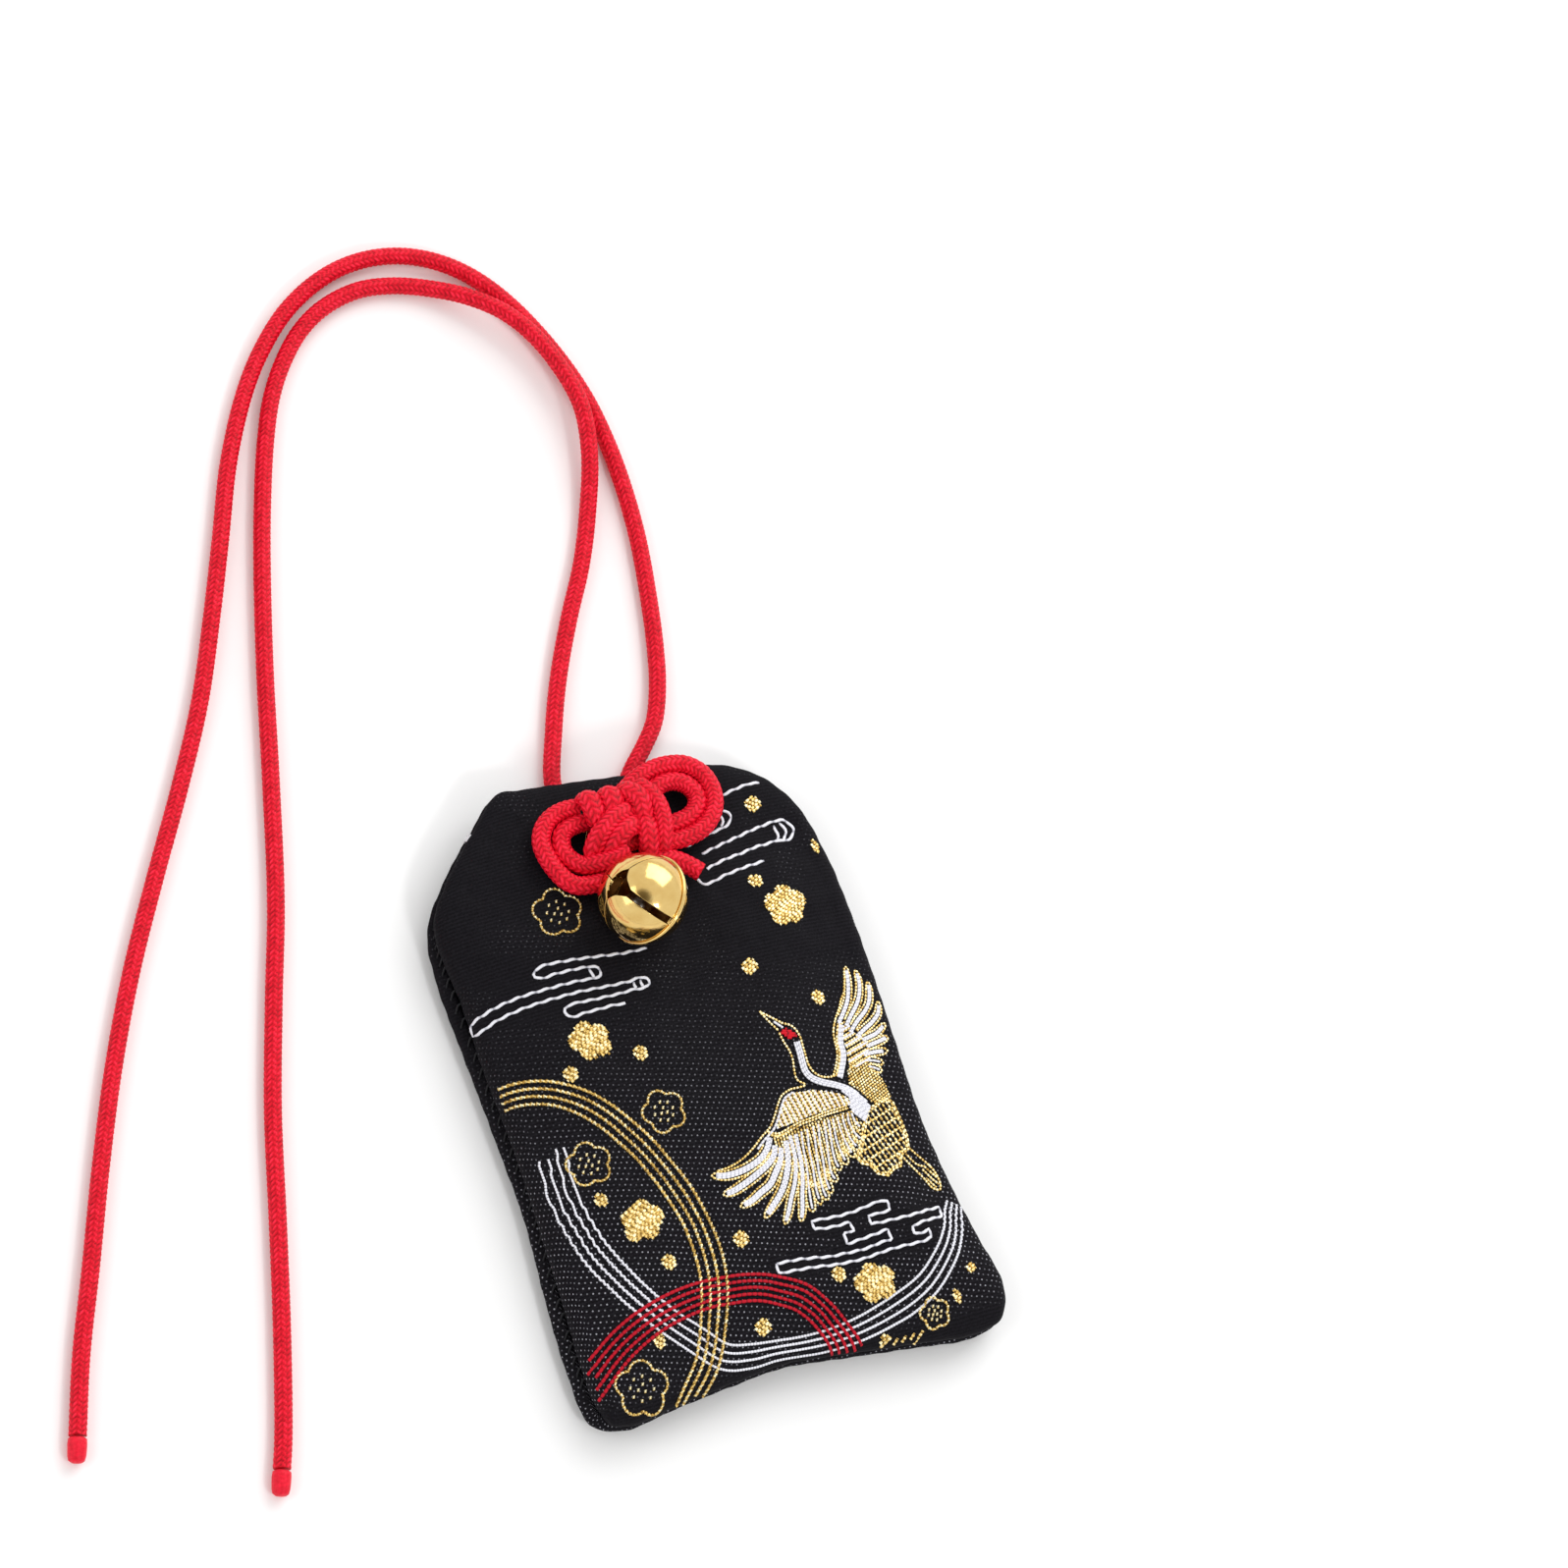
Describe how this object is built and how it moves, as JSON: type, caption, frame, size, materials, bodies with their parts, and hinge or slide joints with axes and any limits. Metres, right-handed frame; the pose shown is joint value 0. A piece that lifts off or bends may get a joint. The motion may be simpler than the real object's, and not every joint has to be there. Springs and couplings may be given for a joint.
{
  "type": "omamori charm",
  "caption": "Padded brocade pouch with a talisman inside, a red braided cord tied in a flat looped knot and a small gilt jingle bell.",
  "frame": {"origin": "on the table plane, under the middle of the pouch's outline", "axes": "+Z out of the pouch's front face, +Y from its bottom edge to its mouth, +X to the right of someone who looks at the front"},
  "size_m": [0.1056, 0.1396, 0.0184],
  "materials": {
    "brocade": "black jacquard weave with gold, white and red threads",
    "wadding": "soft fibre padding",
    "card": "grey-brown pulp card, stood in for by matte plastic",
    "talisman_wood": "plain planed",
    "sleeve_paper": "white paper, stood in for by fabric",
    "black_thread": "twisted thread",
    "white_thread": "twisted thread",
    "red_cord": "herringbone braid",
    "sealed_cord": "cord end melted smooth",
    "gilt_brass": "polished gilt",
    "pellet_steel": "plain"
  },
  "bodies": {
    "charm": {"front_panel": "brocade", "back_panel": "brocade", "front_mouth_hem": "brocade", "back_mouth_hem": "brocade", "front_wadding": "wadding", "back_wadding": "wadding", "stiffener_card": "card", "talisman_board": "talisman_wood", "talisman_sleeve": "sleeve_paper", "left_seam_thread": "black_thread", "right_seam_thread": "black_thread", "bottom_seam_thread": "black_thread", "left_shoulder_tack": "white_thread", "knot_left_loop_outer": "red_cord", "knot_left_loop_inner": "red_cord", "knot_right_loop_outer": "red_cord", "knot_right_loop_inner": "red_cord", "knot_wrap_left": "red_cord", "knot_wrap_middle": "red_cord", "knot_wrap_right_inner": "red_cord", "knot_wrap_right_outer": "red_cord", "knot_fold_left_upper": "red_cord", "knot_fold_left_lower": "red_cord", "knot_fold_right": "red_cord", "knot_core_upper": "red_cord", "knot_core_lower": "red_cord", "knot_tail": "red_cord", "left_cord_lead": "red_cord", "right_cord_lead": "red_cord", "left_cord_strand": "red_cord", "right_cord_strand": "red_cord", "left_cord_sealed_tip": "sealed_cord", "right_cord_sealed_tip": "sealed_cord", "bell_hanging_wire": "gilt_brass"},
    "bell": {"bell_slotted_shell": "gilt_brass", "bell_shank_shell": "gilt_brass", "bell_rolled_lip": "gilt_brass", "bell_shank": "gilt_brass"},
    "pellet": {"bell_pellet": "pellet_steel"}
  },
  "joints": [
    {"name": "bell_swing", "type": "hinge", "parent": "charm", "child": "bell", "pos_m": [0.0006, 0.01671, 0.00985], "axis": [0.6521, 0, 0.7581], "range_deg": [0, 32]},
    {"name": "pellet_rattle", "type": "slide", "parent": "bell", "child": "pellet", "axis": [0, 0, 1], "range_m": [0, 0.005]}
  ]
}
